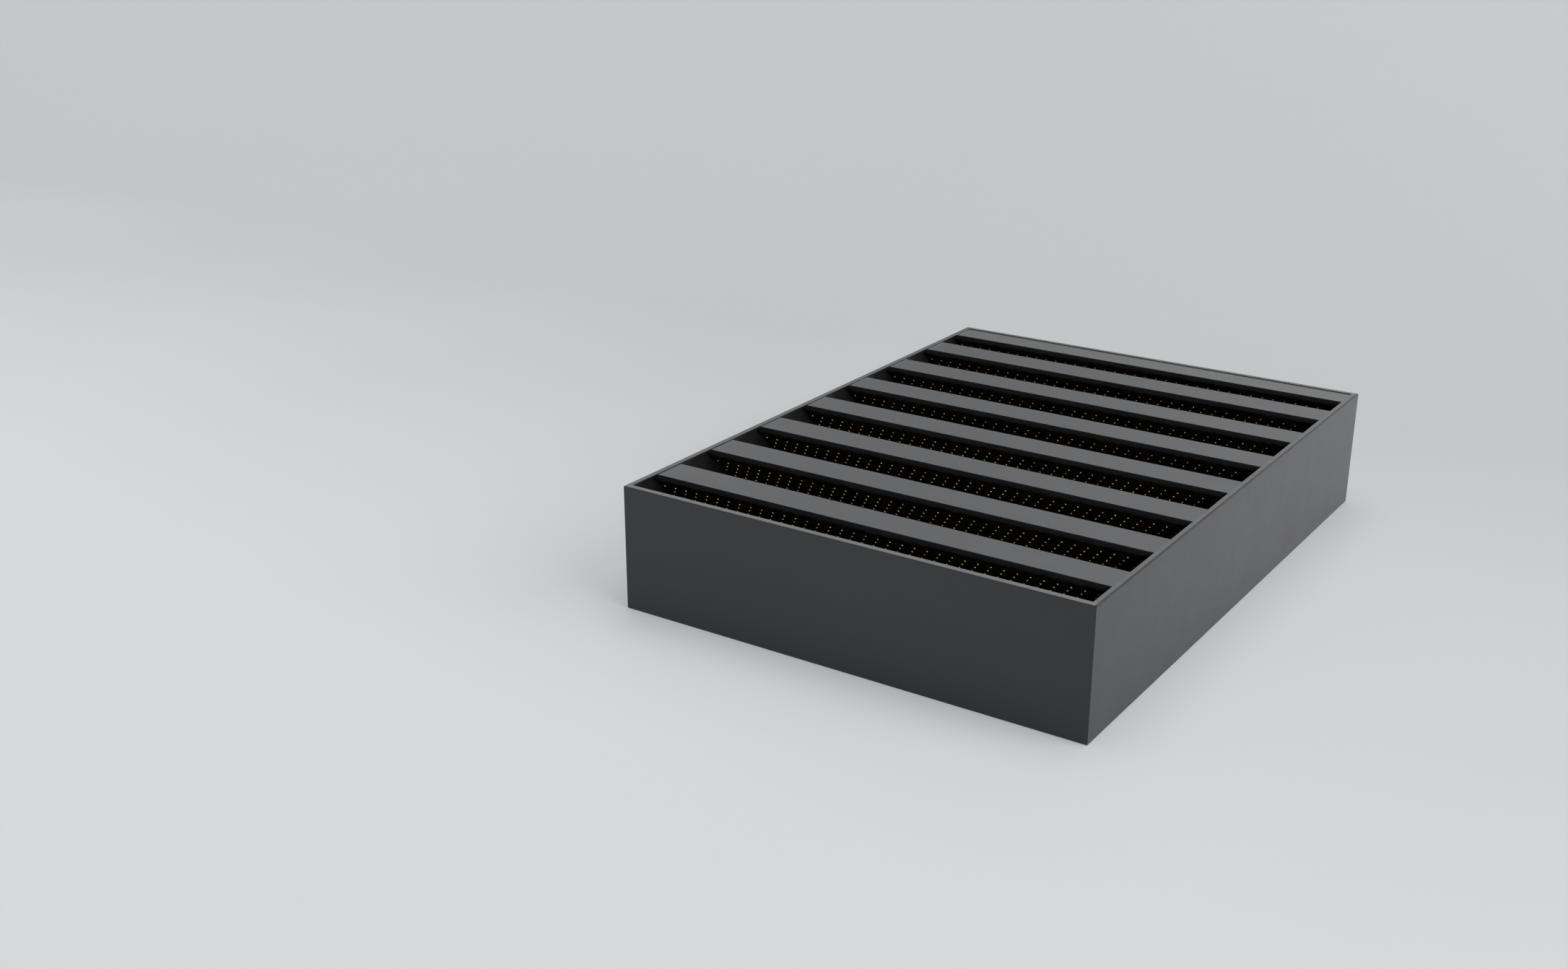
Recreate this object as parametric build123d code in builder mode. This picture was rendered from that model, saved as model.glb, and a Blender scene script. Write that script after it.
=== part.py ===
from build123d import *
import os

# Acoustic louvre panel, lying on its rear face with the weather face up.
# Millimetres. X runs along the blades, Y from the sill to the head as installed,
# Z from the rear (room) face to the weather face. The origin is the middle of
# the rear face. Sections are drawn with Y measured from the sill's outer face.

# Outer size
panel_width = 1150.0
panel_height = 1600.0
panel_depth = 300.0

# Casing: four folded channels with mitred ends
casing_sheet = 2.0
casing_flange = 14.0
casing_bend_radius = 3.0

# Blades: a painted skin, a perforated liner and mineral wool between them
blade_count = 7
blade_flat = 86.0
nose_drop = 14.0
liner_run = 172.0
leg_thickness = 114.0
skin_sheet = 1.2
liner_sheet = 1.0
liner_hem = 12.0
blade_bend_radius = 2.2
blade_end_gap = 1.0

# Airways next to the sill and the head
end_mouth = 91.0
end_airway = 65.0
head_flat = 73.0

# Mineral wool
wool_corner_radius = 3.0
inner_batt_share = 0.6
sill_seam = 121.0

# Levels above the rear face
rear_level = casing_sheet
front_level = panel_depth - casing_sheet
hem_level = front_level - skin_sheet
foot_level = rear_level + skin_sheet
nose_level = front_level - nose_drop
wool_top = hem_level - liner_sheet
wool_bottom = foot_level + liner_sheet

# Places along Y, from the sill's outer face
sill_wall = casing_sheet
head_wall = panel_height - casing_sheet
web_corner = casing_bend_radius - casing_sheet
first_nose = casing_flange + end_mouth
head_nose = panel_height - casing_flange - head_flat
last_nose = head_nose - end_mouth - blade_flat
blade_pitch = (last_nose - first_nose) / (blade_count - 1)
blade_length = panel_width - 2 * (casing_sheet + blade_end_gap)

# On a 45 degree face Y + Z is constant, and a sheet takes up this much of it
skin_slant = skin_sheet * 2**0.5
liner_slant = liner_sheet * 2**0.5

os.makedirs("parts", exist_ok=True)


def save(piece, name):
    """Label a finished piece and write it under its own name."""
    piece.part.label = name
    export_step(piece.part, f"parts/{name}.step")


def section_plane():
    """Plane of the blade sections, across the panel at the left end of the blades."""
    return Plane(origin=(-blade_length / 2, -panel_height / 2, 0), x_dir=(0, 1, 0), z_dir=(1, 0, 0))


def folded_sheet(points, sheet, inside):
    """A folded sheet as long as the blades, with its outer face along the points."""
    with BuildPart() as folded:
        with BuildSketch(section_plane()):
            with BuildLine():
                outer_face = FilletPolyline(*points, radius=blade_bend_radius)
                offset(outer_face, amount=sheet, side=inside)
            make_face()
        extrude(amount=blade_length)
    return folded


def wool_batt(outline, cuts):
    """A batt as long as the blades: the filled outline, kept on one side of each cut."""
    with BuildPart() as batt:
        with BuildSketch(section_plane()):
            with BuildLine():
                FilletPolyline(*outline, radius=wool_corner_radius, close=True)
            make_face()
        extrude(amount=blade_length)
        for seam, kept_side in cuts:
            split(bisect_by=seam, keep=kept_side)
    return batt


def slanted_seam(slant):
    """Seam plane at 45 degrees, parallel to the blade's faces."""
    return Plane(origin=(0, slant - panel_height / 2, 0), z_dir=(0, 1, 1))


def upright_seam(distance):
    """Seam plane square to Y."""
    return Plane(origin=(0, distance - panel_height / 2, 0), z_dir=(0, 1, 0))


def level_seam(level):
    """Seam plane parallel to the rear face."""
    return Plane.XY.offset(level)


def casing_channel(web_middle, inward, length):
    """A C-shaped channel with its web outward and both ends mitred at 45 degrees."""
    along = inward.cross(Vector(0, 0, 1))
    outline = [(casing_flange, 0), (0, 0), (0, panel_depth), (casing_flange, panel_depth)]
    with BuildPart() as channel:
        with BuildSketch(Plane(origin=web_middle, x_dir=inward, z_dir=along)):
            with BuildLine():
                outer_face = FilletPolyline(*outline, radius=casing_bend_radius)
                offset(outer_face, amount=casing_sheet, side=Side.RIGHT)
            make_face()
        extrude(amount=length / 2, both=True)
        for end in (along, -along):
            corner = web_middle + end * (length / 2)
            split(bisect_by=Plane(origin=corner, z_dir=inward + end), keep=Keep.BOTTOM)
    return channel


def make_casing():
    """Sill, head and two jambs, mitred at the four corners."""
    half_width = panel_width / 2
    half_height = panel_height / 2
    save(casing_channel(Vector(0, -half_height), Vector(0, 1), panel_width), "casing_sill")
    save(casing_channel(Vector(0, half_height), Vector(0, -1), panel_width), "casing_head")
    save(casing_channel(Vector(-half_width, 0), Vector(1, 0), panel_height), "casing_jamb_left")
    save(casing_channel(Vector(half_width, 0), Vector(-1, 0), panel_height), "casing_jamb_right")


def make_sill_block():
    """The fixed block behind the sill: its skin slopes down into the first airway."""
    edge = sill_wall + web_corner
    leg_far = first_nose + liner_run - end_airway
    elbow = front_level - (leg_far - casing_flange)
    skin_line = [
        (edge, front_level),
        (casing_flange, front_level),
        (leg_far, elbow),
        (leg_far, rear_level),
        (edge, rear_level),
    ]
    save(folded_sheet(skin_line, skin_sheet, Side.RIGHT), "sill_skin")

    far_slant = casing_flange + front_level - skin_slant
    far_face = leg_far - skin_sheet
    wool_line = [
        (sill_wall, wool_top),
        (sill_wall, wool_bottom),
        (far_face, wool_bottom),
        (far_face, far_slant - far_face),
        (far_slant - wool_top, wool_top),
    ]
    seam = upright_seam(sill_seam)
    save(wool_batt(wool_line, [(seam, Keep.BOTTOM)]), "sill_wool_near")
    save(wool_batt(wool_line, [(seam, Keep.TOP)]), "sill_wool_far")


def make_blade(name, nose, leg_near, leg_far):
    """One blade: flat and nose at the weather face, 45 degree slope, leg to the rear face."""
    flat_end = nose + blade_flat
    skin_line = [
        (nose, front_level),
        (flat_end, front_level),
        (leg_far, front_level - (leg_far - flat_end)),
        (leg_far, rear_level),
        (leg_near, rear_level),
    ]
    save(folded_sheet(skin_line, skin_sheet, Side.RIGHT), f"{name}_skin")

    liner_line = [
        (nose + liner_hem, hem_level),
        (nose, hem_level),
        (nose, nose_level),
        (leg_near, nose_level - (leg_near - nose)),
        (leg_near, foot_level),
        (leg_near + liner_hem, foot_level),
    ]
    save(folded_sheet(liner_line, liner_sheet, Side.LEFT), f"{name}_liner")

    near_slant = nose + nose_level + liner_slant
    far_slant = flat_end + front_level - skin_slant
    nose_face = nose + liner_sheet
    near_face = leg_near + liner_sheet
    far_face = leg_far - skin_sheet
    wool_line = [
        (nose_face, wool_top),
        (nose_face, near_slant - nose_face),
        (near_face, near_slant - near_face),
        (near_face, wool_bottom),
        (far_face, wool_bottom),
        (far_face, far_slant - far_face),
        (far_slant - wool_top, wool_top),
    ]
    slope_seam = slanted_seam(near_slant + inner_batt_share * (far_slant - near_slant))
    leg_seam = level_seam(near_slant - near_face)
    inner_cuts = [(leg_seam, Keep.TOP), (slope_seam, Keep.BOTTOM)]
    outer_cuts = [(leg_seam, Keep.TOP), (slope_seam, Keep.TOP)]
    save(wool_batt(wool_line, inner_cuts), f"{name}_wool_inner")
    save(wool_batt(wool_line, outer_cuts), f"{name}_wool_outer")
    save(wool_batt(wool_line, [(leg_seam, Keep.BOTTOM)]), f"{name}_wool_leg")


def make_blades():
    """All blades. The last has a slimmer leg, so that the airways beside it stay open."""
    for index in range(blade_count):
        nose = first_nose + index * blade_pitch
        leg_near = nose + liner_run
        leg_far = leg_near + leg_thickness
        if index == blade_count - 1:
            leg_near = nose - blade_pitch + liner_run + leg_thickness + end_airway
            leg_far = head_wall - end_airway
        make_blade(f"blade_{index + 1}", nose, leg_near, leg_far)


def make_head_block():
    """The fixed wedge at the head: cover, perforated underside and wool."""
    cover_lip = nose_level - (head_wall - head_nose)
    cover_line = [(head_nose, front_level), (head_wall, front_level), (head_wall, cover_lip)]
    save(folded_sheet(cover_line, skin_sheet, Side.RIGHT), "head_cover")

    lip_face = head_wall - skin_sheet
    slope_end = nose_level - (lip_face - head_nose)
    liner_line = [
        (head_nose + liner_hem, hem_level),
        (head_nose, hem_level),
        (head_nose, nose_level),
        (lip_face, slope_end),
        (lip_face, slope_end + 2 * liner_hem),
    ]
    save(folded_sheet(liner_line, liner_sheet, Side.LEFT), "head_liner")

    near_slant = head_nose + nose_level + liner_slant
    nose_face = head_nose + liner_sheet
    hem_face = lip_face - liner_sheet
    wool_line = [
        (nose_face, wool_top),
        (nose_face, near_slant - nose_face),
        (hem_face, near_slant - hem_face),
        (hem_face, wool_top),
    ]
    save(wool_batt(wool_line, []), "head_wool")


make_casing()
make_sill_block()
make_blades()
make_head_block()
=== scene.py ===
import math

import bpy
from mathutils import Matrix, Vector


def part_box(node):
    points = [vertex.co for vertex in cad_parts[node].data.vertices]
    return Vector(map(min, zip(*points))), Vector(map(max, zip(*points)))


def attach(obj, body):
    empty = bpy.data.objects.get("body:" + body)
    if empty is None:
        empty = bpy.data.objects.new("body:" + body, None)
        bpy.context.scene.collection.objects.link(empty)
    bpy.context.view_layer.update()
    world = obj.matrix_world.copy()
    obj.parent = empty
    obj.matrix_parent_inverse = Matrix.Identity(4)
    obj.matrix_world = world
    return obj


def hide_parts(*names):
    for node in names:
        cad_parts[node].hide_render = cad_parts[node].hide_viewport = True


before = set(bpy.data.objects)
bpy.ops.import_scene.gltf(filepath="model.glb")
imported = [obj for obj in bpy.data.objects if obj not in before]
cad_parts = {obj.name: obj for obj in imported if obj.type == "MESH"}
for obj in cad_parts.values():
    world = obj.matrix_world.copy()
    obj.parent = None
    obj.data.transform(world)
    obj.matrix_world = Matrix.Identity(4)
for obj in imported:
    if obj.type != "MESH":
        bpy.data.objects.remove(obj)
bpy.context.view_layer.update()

# Acoustic louvre panel in metres: X along the blades, Y from sill to head, Z to the weather face
BODY = "root"

# Sheets and levels
BLADE_COUNT = 7
LINER_SHEET = 0.001
LINER_HEM = 0.012
SKIN_SHEET = 0.0012
NOSE_DROP = 0.014
NOSE_LEVEL = 0.284
CASING_FLANGE = 0.014
HALF_RIGHT = math.radians(45)

# Middle of the casing's sheet on the jambs, the ends, the front flange and the rear flange
SIDE_MIDDLE = 0.574
END_MIDDLE = 0.799
FLANGE_LEVEL = 0.299
REAR_LEVEL = 0.001

# Casing coat, all painted light: a paler painted sheen on the flanges, a brighter painted highlight
# on the sill's flange, and painted shade along the front bends, on the inside faces and towards the
# bottom
CASING_DARK = (0.0160, 0.0167, 0.0181)
CASING_LIGHT = (0.0192, 0.0200, 0.0216)
FLANGE_PAINTED_SHEEN = (0.034, 0.0355, 0.038)
SILL_FLANGE_PAINTED_HIGHLIGHT = (0.070, 0.073, 0.077)
PAINTED_SHADE_BLACK = (0.004, 0.004, 0.0042)
SHADED_BEND_LEVEL = 0.2972
SHADED_BEND_INNER = 0.0026
SHADED_BEND_OUTER = 0.0012
FOOT_SHADE_TOP = 0.22
FOOT_SHADE_STRENGTH = 0.45

# Other coats
COAT_ROUGHNESS = 0.38
# The head cover's coat is paler than the casing's and the blades': painted sheen
COVER_DARK = (0.0410, 0.0428, 0.0422)
COVER_LIGHT = (0.0490, 0.0508, 0.0502)
BLADE_DARK = (0.0147, 0.0159, 0.0184)
BLADE_LIGHT = (0.0186, 0.0200, 0.0230)
LINER_DARK = (0.0004, 0.0003, 0.0002)
LINER_LIGHT = (0.0078, 0.0060, 0.0030)
# Painted light: the plain nose band is made greyer than the perforated black
NOSE_DARK = (0.0056, 0.0058, 0.0064)
NOSE_LIGHT = (0.0078, 0.0081, 0.0089)
NOSE_FADE = 0.006

# Mineral wool
PALE_WOOL = (0.74, 0.64, 0.44)
GOLD_WOOL = (0.78, 0.53, 0.20)
PALE_OUTER_WOOL = (0.80, 0.60, 0.27)
GOLD_OUTER_WOOL = (0.74, 0.47, 0.15)
BROWN_WOOL = (0.42, 0.25, 0.08)
THIN_TUFT = (0.55, 0.28, 0.05)
GOLD_TUFT = (0.95, 0.58, 0.15)
FULL_TUFT = (1.0, 0.78, 0.32)
TUFT_SHADOW = (0.45, 0.24, 0.06)
# Painted shade that darkens the tufts towards the head
TUFT_PAINTED_SHADE = (0.07, 0.04, 0.012)
TUFT_SHADE_START = 0.2
TUFT_SHADE_STRENGTH = 0.62

# Perforated liners
HOLE_RADIUS = 0.0019
HOLE_SIDES = 12
HOLE_SPACING = 0.030
ROW_SPACING = 0.0235
FIRST_ROW = 0.027
LAST_ROW_MARGIN = 0.020
FIRST_LEG_ROW = 0.015
LAST_LEG_ROW_MARGIN = 0.008
END_MARGIN = 0.017
PUNCH_LENGTH = 0.008
TUFT_RADIUS = 0.0021
TUFT_HEIGHT = 0.0021
TUFT_RINGS = 6
MERGE_DISTANCE = 0.00001
FLAT_ANGLE = math.radians(0.1)

# Floor, from near to far, darker towards the back as painted shade
FLOOR_SIZE = 80
FLOOR_NEAR = (0.630, 0.634, 0.647)
FLOOR_MIDDLE = (0.562, 0.566, 0.577)
FLOOR_FAR = (0.492, 0.496, 0.506)
FLOOR_FADE_START = 1.2
FLOOR_FADE_LENGTH = 2.7

# Camera: its azimuth is measured from +Y towards +X
CAMERA_AZIMUTH = math.radians(-34.183)
CAMERA_ELEVATION = math.radians(20.621)
CAMERA_DISTANCE = 4.3687
CAMERA_RIGHT = -0.5665
CAMERA_UP = 0.1642
CAMERA_REACH = 200
FOCAL_PIXELS = 2443.3
PHOTO_WIDTH = 2172
SENSOR_WIDTH = 36.0

# Studio light
LAMP_COLOUR = (0.985, 0.992, 1.0)
STUDIO_WHITE = (1, 1, 1, 1)
STUDIO_STRENGTH = 0.12


class Signal:
    """A socket in a material. Arithmetic on it adds Math nodes to the same material."""

    def __init__(self, tree, socket):
        self.tree = tree
        self.socket = socket

    def node(self, kind, settings=None, inputs=None, output=0):
        """Adds a node: its settings first, then the values or links of its sockets."""
        made = self.tree.nodes.new(kind)
        for name, value in (settings or {}).items():
            if name == "stops":
                set_stops(made.color_ramp, value)
            else:
                setattr(made, name, value)
        for name, value in (inputs or {}).items():
            if isinstance(value, Signal):
                self.tree.links.new(value.socket, made.inputs[name])
            else:
                made.inputs[name].default_value = value
        return Signal(self.tree, made.outputs[output])

    def math(self, operation, first, second):
        return self.node("ShaderNodeMath", {"operation": operation}, {0: first, 1: second})

    def __add__(self, other):
        return self.math("ADD", self, other)

    def __radd__(self, other):
        return self.math("ADD", other, self)

    def __sub__(self, other):
        return self.math("SUBTRACT", self, other)

    def __rsub__(self, other):
        return self.math("SUBTRACT", other, self)

    def __mul__(self, other):
        return self.math("MULTIPLY", self, other)

    def __rmul__(self, other):
        return self.math("MULTIPLY", other, self)

    def __truediv__(self, other):
        return self.math("DIVIDE", self, other)

    def clamped(self):
        """The value kept between 0 and 1."""
        return self.node("ShaderNodeClamp", None, {"Value": self})

    def axis(self, index):
        """One coordinate of a place."""
        return self.node("ShaderNodeSeparateXYZ", None, {"Vector": self}, index)

    def distance_from_middle(self):
        """The value without its sign."""
        return self.math("ABSOLUTE", self, 0.0)

    def above(self, limit):
        """1 where the value is greater than the limit, else 0."""
        return self.math("GREATER_THAN", self, limit)

    def below(self, limit):
        """1 where the value is less than the limit, else 0."""
        return self.math("LESS_THAN", self, limit)

    def stretched(self, x, y, z):
        """The coordinates scaled along each axis."""
        sockets = {"Vector": self, "Scale": (x, y, z)}
        return self.node("ShaderNodeMapping", {"vector_type": "POINT"}, sockets)

    def noise(self, scale, detail=3.0, roughness=0.5, distortion=0.0):
        """Noise over these coordinates, as a value."""
        sockets = {
            "Vector": self,
            "Scale": scale,
            "Detail": detail,
            "Roughness": roughness,
            "Distortion": distortion,
        }
        return self.node("ShaderNodeTexNoise", None, sockets)

    def ramp(self, stops):
        """The colour that the stops give for this value."""
        return self.node("ShaderNodeValToRGB", {"stops": stops}, {"Fac": self})

    def mixed(self, first, second):
        """The colour between first and second, by this value."""
        ends = [end if isinstance(end, Signal) else (*end, 1.0) for end in (first, second)]
        return self.node("ShaderNodeMix", {"data_type": "RGBA"}, {0: self, 6: ends[0], 7: ends[1]}, 2)

    def bump(self, strength, distance):
        """The normal that this value gives as a height."""
        sockets = {"Height": self, "Strength": strength, "Distance": distance}
        return self.node("ShaderNodeBump", None, sockets)


def set_stops(ramp, stops):
    """Gives a colour ramp its stops, each a place and a colour."""
    while len(ramp.elements) > 1:
        ramp.elements.remove(ramp.elements[-1])
    for index, (place, colour) in enumerate(stops):
        element = ramp.elements[0] if index == 0 else ramp.elements.new(place)
        element.position = place
        element.color = (*colour, 1.0)


def start_finish(name):
    """A new material, its shader and its object coordinates."""
    material = bpy.data.materials.new(name)
    material.use_nodes = True
    tree = material.node_tree
    shader = tree.nodes["Principled BSDF"]
    coordinates = tree.nodes.new("ShaderNodeTexCoord")
    return material, shader, Signal(tree, coordinates.outputs["Object"])


def plug(shader, name, signal):
    """Links a signal to one of the shader's sockets."""
    signal.tree.links.new(signal.socket, shader.inputs[name])


def fill_shader(shader, shade, roughness, gloss):
    """Plugs in the colour and roughness, and sets how glossy the surface is."""
    plug(shader, "Base Color", shade)
    plug(shader, "Roughness", roughness)
    shader.inputs["Specular IOR Level"].default_value = gloss


def casing_painted_light(place, shade, roughness, relief):
    """Paints light and shade into the casing's coat: sheen on its flanges, shade along its front
    bends, black shade on its inside faces, darker towards its bottom.
    """
    side = place.axis(0).distance_from_middle()
    along = place.axis(1)
    end = along.distance_from_middle()
    level = place.axis(2)
    on_flange = level.above(FLANGE_LEVEL)
    within = side.below(SIDE_MIDDLE) * end.below(END_MIDDLE)
    # Painted shade: the casing's inside faces are made black
    inside = within * level.below(FLANGE_LEVEL) * level.above(REAR_LEVEL)
    # Painted shade: a dark line along the front bends of the jambs and the head, which are also
    # rougher and slightly grooved
    side_shaded_bend = side.above(SIDE_MIDDLE - SHADED_BEND_INNER) * side.below(SIDE_MIDDLE + SHADED_BEND_OUTER)
    head_shaded_bend = along.above(END_MIDDLE - SHADED_BEND_INNER) * along.below(END_MIDDLE + SHADED_BEND_OUTER)
    shaded_bend = (side_shaded_bend + head_shaded_bend).clamped() * level.above(SHADED_BEND_LEVEL)
    # Painted sheen on the flanges, with a brighter painted highlight on the sill's flange
    flange = along.below(CASING_FLANGE - END_MIDDLE).mixed(FLANGE_PAINTED_SHEEN, SILL_FLANGE_PAINTED_HIGHLIGHT)
    # Painted shade: the coat darkens towards the bottom of the casing
    painted_foot_shade = (1.0 - level / FOOT_SHADE_TOP).clamped() * FOOT_SHADE_STRENGTH
    shade = painted_foot_shade.mixed(shade, PAINTED_SHADE_BLACK)
    shade = on_flange.mixed(shade, flange)
    shade = shaded_bend.mixed(shade, PAINTED_SHADE_BLACK)
    shade = inside.mixed(shade, PAINTED_SHADE_BLACK)
    return shade, roughness + inside * 0.6 + shaded_bend * 0.5, relief - shaded_bend * 2.0


def powder_coat(name, dark, light, folded_casing=False):
    """Satin powder coat: cloudy shade, fine orange peel, a few duller patches."""
    material, shader, place = start_finish(name)
    clouds = place.stretched(1.0, 1.6, 1.6).noise(2.6, detail=4.0, roughness=0.55, distortion=0.4)
    mottle = place.noise(38.0, detail=3.0, roughness=0.6)
    shade = (clouds * 0.8 + mottle * 0.2).ramp([(0.30, dark), (0.70, light)])
    patches = place.stretched(1.0, 2.2, 2.2).noise(4.5, detail=4.0, roughness=0.6, distortion=0.6)
    roughness = COAT_ROUGHNESS - 0.06 + patches * 0.12
    peel = place.noise(620.0, detail=2.0)
    grain = place.noise(2400.0, detail=1.0)
    relief = peel * 0.75 + grain * 0.25
    if folded_casing:
        shade, roughness, relief = casing_painted_light(place, shade, roughness, relief)
    fill_shader(shader, shade, roughness, 0.45)
    plug(shader, "Normal", relief.bump(0.10, 0.0004))
    return material


def liner_black(name):
    """Matt black coat on the perforated sheet, with painted light lifting its plain nose to grey."""
    material, shader, place = start_finish(name)
    clouds = place.noise(14.0, detail=4.0, roughness=0.6)
    smears = place.noise(42.0, detail=4.0, roughness=0.65, distortion=0.5)
    black = smears.ramp([(0.42, LINER_DARK), (0.66, LINER_LIGHT)])
    nose = clouds.ramp([(0.35, NOSE_DARK), (0.70, NOSE_LIGHT)])
    # Painted light on the plain nose band
    nose_painted_light = ((place.axis(2) - NOSE_LEVEL) / NOSE_FADE).clamped()
    fill_shader(shader, nose_painted_light.mixed(black, nose), 0.55 + clouds * 0.16, 0.13)
    plug(shader, "Normal", place.noise(900.0, detail=2.0).bump(0.15, 0.0003))
    return material


def mineral_wool(name, pale, gold, brown):
    """Mineral wool: soft streaks of pale and gold along the batt, with a fibrous surface."""
    material, shader, place = start_finish(name)
    layers = place.stretched(1.0, 9.0, 2.2).noise(6.0, detail=5.0, roughness=0.62, distortion=1.2)
    stains = place.noise(11.0, detail=4.0, roughness=0.6, distortion=0.8)
    stops = [(0.32, pale), (0.50, gold), (0.66, gold), (0.82, brown)]
    blend = (layers * 0.65 + stains * 0.35).ramp(stops)
    fibres = place.stretched(1.0, 5.0, 5.0).noise(420.0, detail=3.0, roughness=0.7, distortion=0.6)
    gaps = (fibres * 1.6 - 0.5).clamped() * 0.35
    fill_shader(shader, gaps.mixed(blend, brown), 0.86 + fibres * 0.12, 0.15)
    plug(shader, "Normal", fibres.bump(0.6, 0.0012))
    return material


def wool_fluff(name):
    """The ends of gold fibres that show in the holes, fuller in places, with painted shade darkening
    them towards the head.
    """
    material, shader, place = start_finish(name)
    fullness = place.noise(28.0, detail=3.0, roughness=0.6)
    shade = fullness.ramp([(0.36, THIN_TUFT), (0.50, GOLD_TUFT), (0.60, FULL_TUFT)])
    fibres = place.noise(1800.0, detail=2.0, roughness=0.7)
    shade = ((fibres * 1.4 - 0.5).clamped() * 0.3).mixed(shade, TUFT_SHADOW)
    # Painted shade: the tufts darken towards the head
    towards_head = (place.axis(1) + TUFT_SHADE_START).clamped()
    shade = (towards_head * TUFT_SHADE_STRENGTH).mixed(shade, TUFT_PAINTED_SHADE)
    fill_shader(shader, shade, 0.84 + fibres * 0.14, 0.1)
    plug(shader, "Normal", fibres.bump(0.35, 0.0004))
    return material


def floor_finish(name):
    """Pale studio floor, with painted shade that darkens it towards the back."""
    material, shader, place = start_finish(name)
    clouds = place.noise(0.5, detail=2.0)
    away = (place.axis(1) + FLOOR_FADE_START + (clouds - 0.5) * 1.2) / FLOOR_FADE_LENGTH
    shade = away.ramp([(0.0, FLOOR_NEAR), (0.5, FLOOR_MIDDLE), (1.0, FLOOR_FAR)])
    fill_shader(shader, shade, 0.55 + clouds * 0.1, 0.05)
    return material


casing_coat = powder_coat("anthracite_casing_coat", CASING_DARK, CASING_LIGHT, True)
# Paler coat on the head cover as painted sheen
cover_coat = powder_coat("anthracite_cover_coat_painted_sheen", COVER_DARK, COVER_LIGHT)
blade_coat = powder_coat("anthracite_blade_coat", BLADE_DARK, BLADE_LIGHT)
liner_coat = liner_black("black_liner_coat")
inner_wool = mineral_wool("pale_mineral_wool", PALE_WOOL, GOLD_WOOL, BROWN_WOOL)
outer_wool = mineral_wool("gold_mineral_wool", PALE_OUTER_WOOL, GOLD_OUTER_WOOL, BROWN_WOOL)
tuft_wool = wool_fluff("wool_in_holes")
studio_floor = floor_finish("studio_floor")


def dress(node, finish):
    """Gives a CAD node its finish."""
    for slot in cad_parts[node].material_slots:
        slot.material = finish


def finish_for(node):
    """The finish of a node, by its name."""
    if node.startswith("casing"):
        return casing_coat
    if node == "head_cover":
        return cover_coat
    if node.endswith("liner"):
        return liner_coat
    if node.endswith("wool_inner") or node == "head_wool":
        return inner_wool
    if "wool" in node:
        return outer_wool
    return blade_coat


for node_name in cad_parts:
    dress(node_name, finish_for(node_name))


def deselect_all():
    """Nothing selected in object mode."""
    bpy.ops.object.select_all(action="DESELECT")


def make_active(piece):
    """Selects one piece alone."""
    deselect_all()
    piece.select_set(True)
    bpy.context.view_layer.objects.active = piece


def apply_all(piece):
    """Applies every modifier of a piece."""
    make_active(piece)
    for modifier in list(piece.modifiers):
        bpy.ops.object.modifier_apply(modifier=modifier.name)


def merged_copy(node, name):
    """A copy of a CAD node's mesh with its loose triangles joined and its flats made whole."""
    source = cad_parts[node]
    piece = bpy.data.objects.new(name, source.data.copy())
    bpy.context.scene.collection.objects.link(piece)
    piece.data.name = name
    make_active(piece)
    bpy.ops.object.mode_set(mode="EDIT")
    bpy.ops.mesh.select_all(action="SELECT")
    bpy.ops.mesh.remove_doubles(threshold=MERGE_DISTANCE)
    bpy.ops.mesh.dissolve_limited(angle_limit=FLAT_ANGLE)
    bpy.ops.object.mode_set(mode="OBJECT")
    piece.data.materials.clear()
    piece.data.materials.append(liner_coat)
    return piece


def array_along(piece, count, step):
    """Repeats a piece by a constant step."""
    modifier = piece.modifiers.new("repeat", "ARRAY")
    modifier.count = count
    modifier.use_relative_offset = False
    modifier.use_constant_offset = True
    modifier.constant_offset_displace = step


def punch():
    """A punch on the sheet's outer face, square to it."""
    bpy.ops.mesh.primitive_cylinder_add(
        vertices=HOLE_SIDES,
        radius=HOLE_RADIUS,
        depth=PUNCH_LENGTH,
    )
    return bpy.context.object


def tuft():
    """A tuft of wool that swells into a hole from the sheet's inner face."""
    base = (0, 0, -LINER_SHEET)
    bpy.ops.mesh.primitive_uv_sphere_add(
        segments=HOLE_SIDES,
        ring_count=TUFT_RINGS,
        radius=TUFT_RADIUS,
        location=base,
        scale=(1, 1, TUFT_HEIGHT / TUFT_RADIUS),
    )
    piece = bpy.context.object
    bpy.ops.object.mode_set(mode="EDIT")
    bpy.ops.mesh.select_all(action="SELECT")
    bpy.ops.mesh.bisect(plane_co=base, plane_no=(0, 0, 1), clear_inner=True)
    bpy.ops.object.mode_set(mode="OBJECT")
    bpy.ops.object.transform_apply(location=True, rotation=True, scale=True)
    bpy.ops.object.shade_smooth()
    return piece


def repeated(make_stamp, first, turn, columns, rows, row_step):
    """One stamp per hole: along X, then down the sheet by every second row."""
    deselect_all()
    stamp = make_stamp()
    stamp.rotation_euler = (turn, 0, 0)
    stamp.location = (-(columns - 1) * HOLE_SPACING / 2, first[0], first[1])
    bpy.ops.object.transform_apply(location=True, rotation=True, scale=True)
    array_along(stamp, columns, (HOLE_SPACING, 0, 0))
    if rows > 1:
        array_along(stamp, rows, (0, row_step[0], row_step[1]))
    apply_all(stamp)
    return stamp


def stamps_on_flat(make_stamp, start, direction, turn, distances, width):
    """The stamps of one flat of sheet. Every second row stands half a spacing aside."""
    full = int((width - 2 * END_MARGIN) / HOLE_SPACING) + 1
    step = (direction[0] * 2 * ROW_SPACING, direction[1] * 2 * ROW_SPACING)
    made = []
    for parity in (0, 1):
        chosen = distances[parity::2]
        if chosen:
            first = (start[0] + direction[0] * chosen[0], start[1] + direction[1] * chosen[0])
            made.append(repeated(make_stamp, first, turn, full - parity, len(chosen), step))
    return made


def row_distances(first, last):
    """Distances of the rows of holes down a flat."""
    count = int((last - first) / ROW_SPACING) + 1
    return [first + index * ROW_SPACING for index in range(count)]


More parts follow.
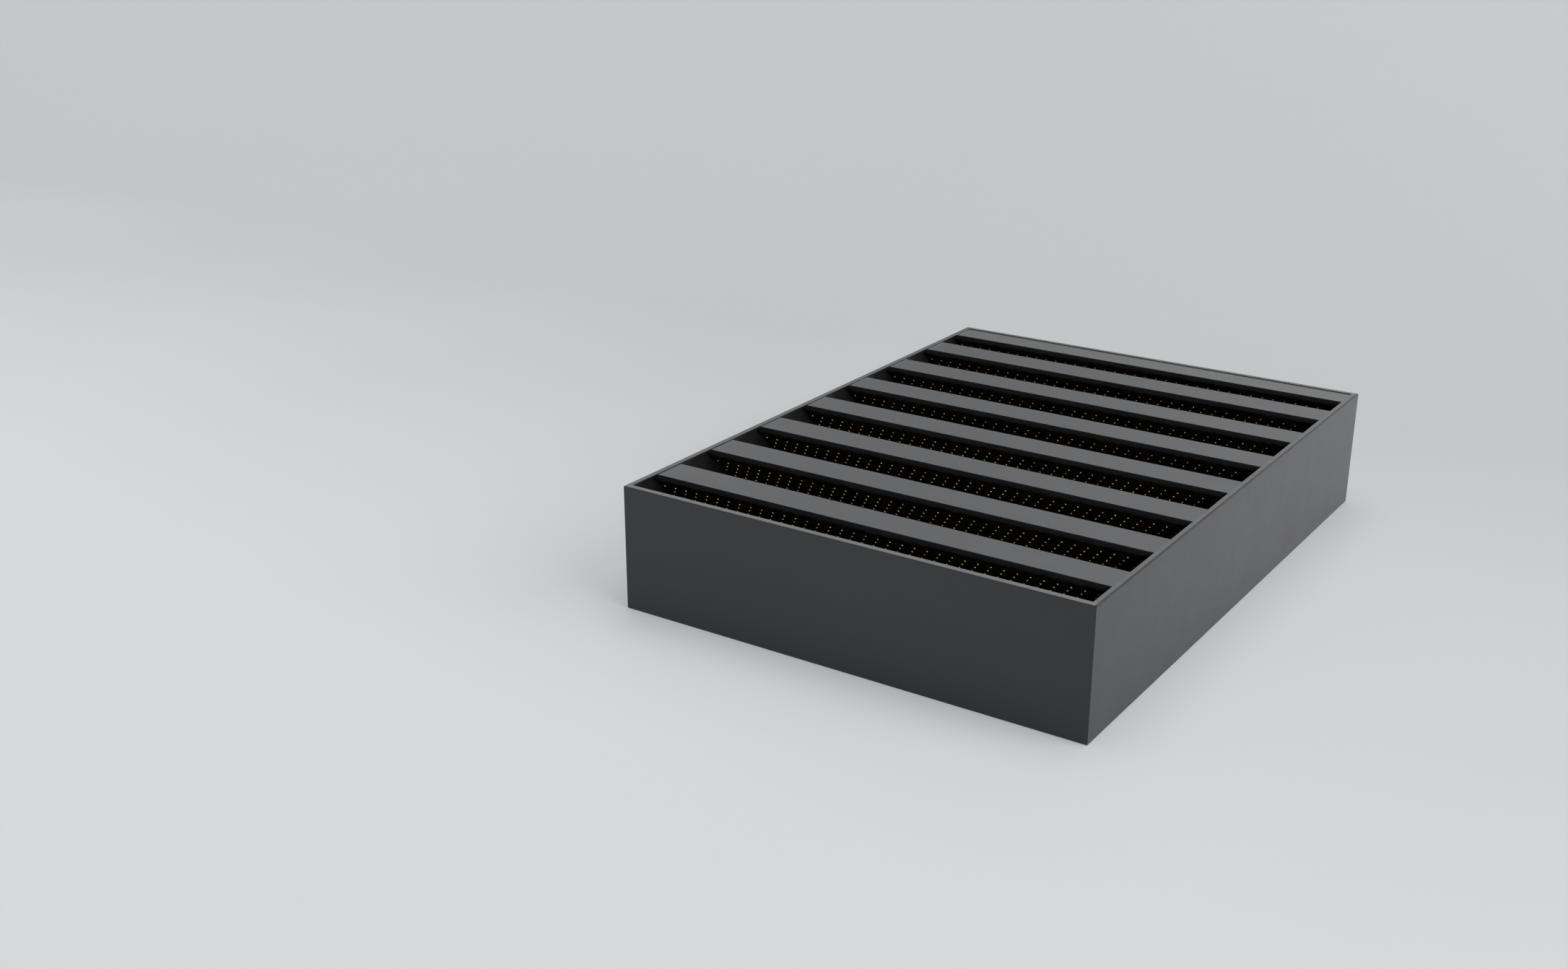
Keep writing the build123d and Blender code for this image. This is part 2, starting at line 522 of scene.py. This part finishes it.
def joined_stamps(make_stamp, node, name):
    """Stamps at every hole of a liner, as one piece."""
    low, high = (Vector(corner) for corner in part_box(node))
    width = high.x - low.x
    nose_level = high.z + SKIN_SHEET - NOSE_DROP
    run = high.y - low.y if node == "head_liner" else high.y - LINER_HEM - low.y
    slope_rows = row_distances(FIRST_ROW, run / math.sin(HALF_RIGHT) - LAST_ROW_MARGIN)
    down_slope = (math.sin(HALF_RIGHT), -math.cos(HALF_RIGHT))
    nose = (low.y, nose_level)
    made = stamps_on_flat(make_stamp, nose, down_slope, 3 * HALF_RIGHT, slope_rows, width)
    if node != "head_liner":
        elbow = (low.y + run, nose_level - run)
        leg_rows = row_distances(FIRST_LEG_ROW, elbow[1] - low.z - LAST_LEG_ROW_MARGIN)
        made += stamps_on_flat(make_stamp, elbow, (0, -1), 2 * HALF_RIGHT, leg_rows, width)
    make_active(made[0])
    for stamp in made[1:]:
        stamp.select_set(True)
    bpy.ops.object.join()
    made[0].name = name
    made[0].data.name = name
    return made[0]


def perforated_liner(node):
    """The node's folded sheet with its holes."""
    piece = merged_copy(node, node + "_perforated")
    punches = joined_stamps(punch, node, "punches")
    cut = piece.modifiers.new("perforation", "BOOLEAN")
    cut.operation = "DIFFERENCE"
    cut.solver = "EXACT"
    cut.object = punches
    apply_all(piece)
    bpy.data.objects.remove(punches, do_unlink=True)
    return piece


def wool_tufts(node):
    """The wool that shows in the holes of a liner."""
    piece = joined_stamps(tuft, node, node.replace("liner", "wool_tufts"))
    piece.data.materials.clear()
    piece.data.materials.append(tuft_wool)
    return piece


def shifted_copy(piece, name, shift):
    """A copy of a piece with its own mesh, moved along Y."""
    copy = bpy.data.objects.new(name, piece.data.copy())
    copy.data.name = name
    copy.data.transform(Matrix.Translation((0, shift, 0)))
    bpy.context.scene.collection.objects.link(copy)
    return copy


def add_liner(liner, tufts, node):
    """Puts a perforated liner in place of its plain node, with wool behind its holes."""
    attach(liner, BODY)
    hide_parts(node)
    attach(tufts, BODY)


first_liner = perforated_liner("blade_1_liner")
first_tufts = wool_tufts("blade_1_liner")
add_liner(first_liner, first_tufts, "blade_1_liner")
first_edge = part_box("blade_1_liner")[0][1]
for number in range(2, BLADE_COUNT):
    node_name = f"blade_{number}_liner"
    shift_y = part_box(node_name)[0][1] - first_edge
    liner_copy = shifted_copy(first_liner, node_name + "_perforated", shift_y)
    tuft_copy = shifted_copy(first_tufts, f"blade_{number}_wool_tufts", shift_y)
    add_liner(liner_copy, tuft_copy, node_name)
for node_name in (f"blade_{BLADE_COUNT}_liner", "head_liner"):
    add_liner(perforated_liner(node_name), wool_tufts(node_name), node_name)

# Floor
deselect_all()
bpy.ops.mesh.primitive_plane_add(size=FLOOR_SIZE, location=(0, 0, 0))
floor = bpy.context.object
floor.name = "studio_floor"
floor.data.materials.append(studio_floor)

# Camera
toward = Vector(
    (
        math.sin(CAMERA_AZIMUTH) * math.cos(CAMERA_ELEVATION),
        math.cos(CAMERA_AZIMUTH) * math.cos(CAMERA_ELEVATION),
        -math.sin(CAMERA_ELEVATION),
    )
)
right = Vector((math.cos(CAMERA_AZIMUTH), -math.sin(CAMERA_AZIMUTH), 0))
up = right.cross(toward)
camera_data = bpy.data.cameras.new("camera")
camera_data.sensor_width = SENSOR_WIDTH
camera_data.lens = FOCAL_PIXELS * SENSOR_WIDTH / PHOTO_WIDTH
camera_data.clip_end = CAMERA_REACH
camera = bpy.data.objects.new("camera", camera_data)
bpy.context.scene.collection.objects.link(camera)
turn = Matrix((right, up, -toward)).transposed().to_4x4()
stand = right * CAMERA_RIGHT + up * CAMERA_UP - toward * CAMERA_DISTANCE
camera.matrix_world = Matrix.Translation(stand) @ turn
bpy.context.scene.camera = camera


def heading(azimuth, elevation):
    """The direction towards a lamp, from degrees of azimuth and elevation."""
    round_z = math.radians(azimuth)
    rise = math.radians(elevation)
    level = math.cos(rise)
    return Vector((math.cos(round_z) * level, math.sin(round_z) * level, math.sin(rise)))


def soft_sun(name, azimuth, elevation, spread, strength, diffuse=True, sheen=True):
    """A lamp by its azimuth (from +X towards +Y), elevation and spread in degrees."""
    data = bpy.data.lights.new(name, "SUN")
    data.angle = math.radians(spread)
    data.energy = strength * math.pi
    data.color = LAMP_COLOUR
    lamp = bpy.data.objects.new(name, data)
    bpy.context.scene.collection.objects.link(lamp)
    lamp.rotation_euler = heading(azimuth, elevation).to_track_quat("Z", "Y").to_euler()
    lamp.visible_diffuse = diffuse
    lamp.visible_glossy = sheen


# Some lamps light only the matt shade or only the sheen of the coats
soft_sun("overhead", 0, 88, 60, 0.46)
soft_sun("right", 5, 28, 60, 0.43)
soft_sun("front_right", 304, 21.5, 10, 0.80, sheen=False)
soft_sun("back_sheen", 90, 35, 50, 0.25, diffuse=False)
soft_sun("back_left_sheen", 140, 40, 50, 0.26, diffuse=False)
soft_sun("right_sheen", 70, 9, 18, 1.2, diffuse=False)
soft_sun("front_sheen", 300, 32, 60, 0.30, diffuse=False)

world = bpy.data.worlds.new("studio")
bpy.context.scene.world = world
world.use_nodes = True
background = world.node_tree.nodes["Background"]
background.inputs["Color"].default_value = STUDIO_WHITE
background.inputs["Strength"].default_value = STUDIO_STRENGTH

bpy.context.scene.view_settings.view_transform = "Standard"
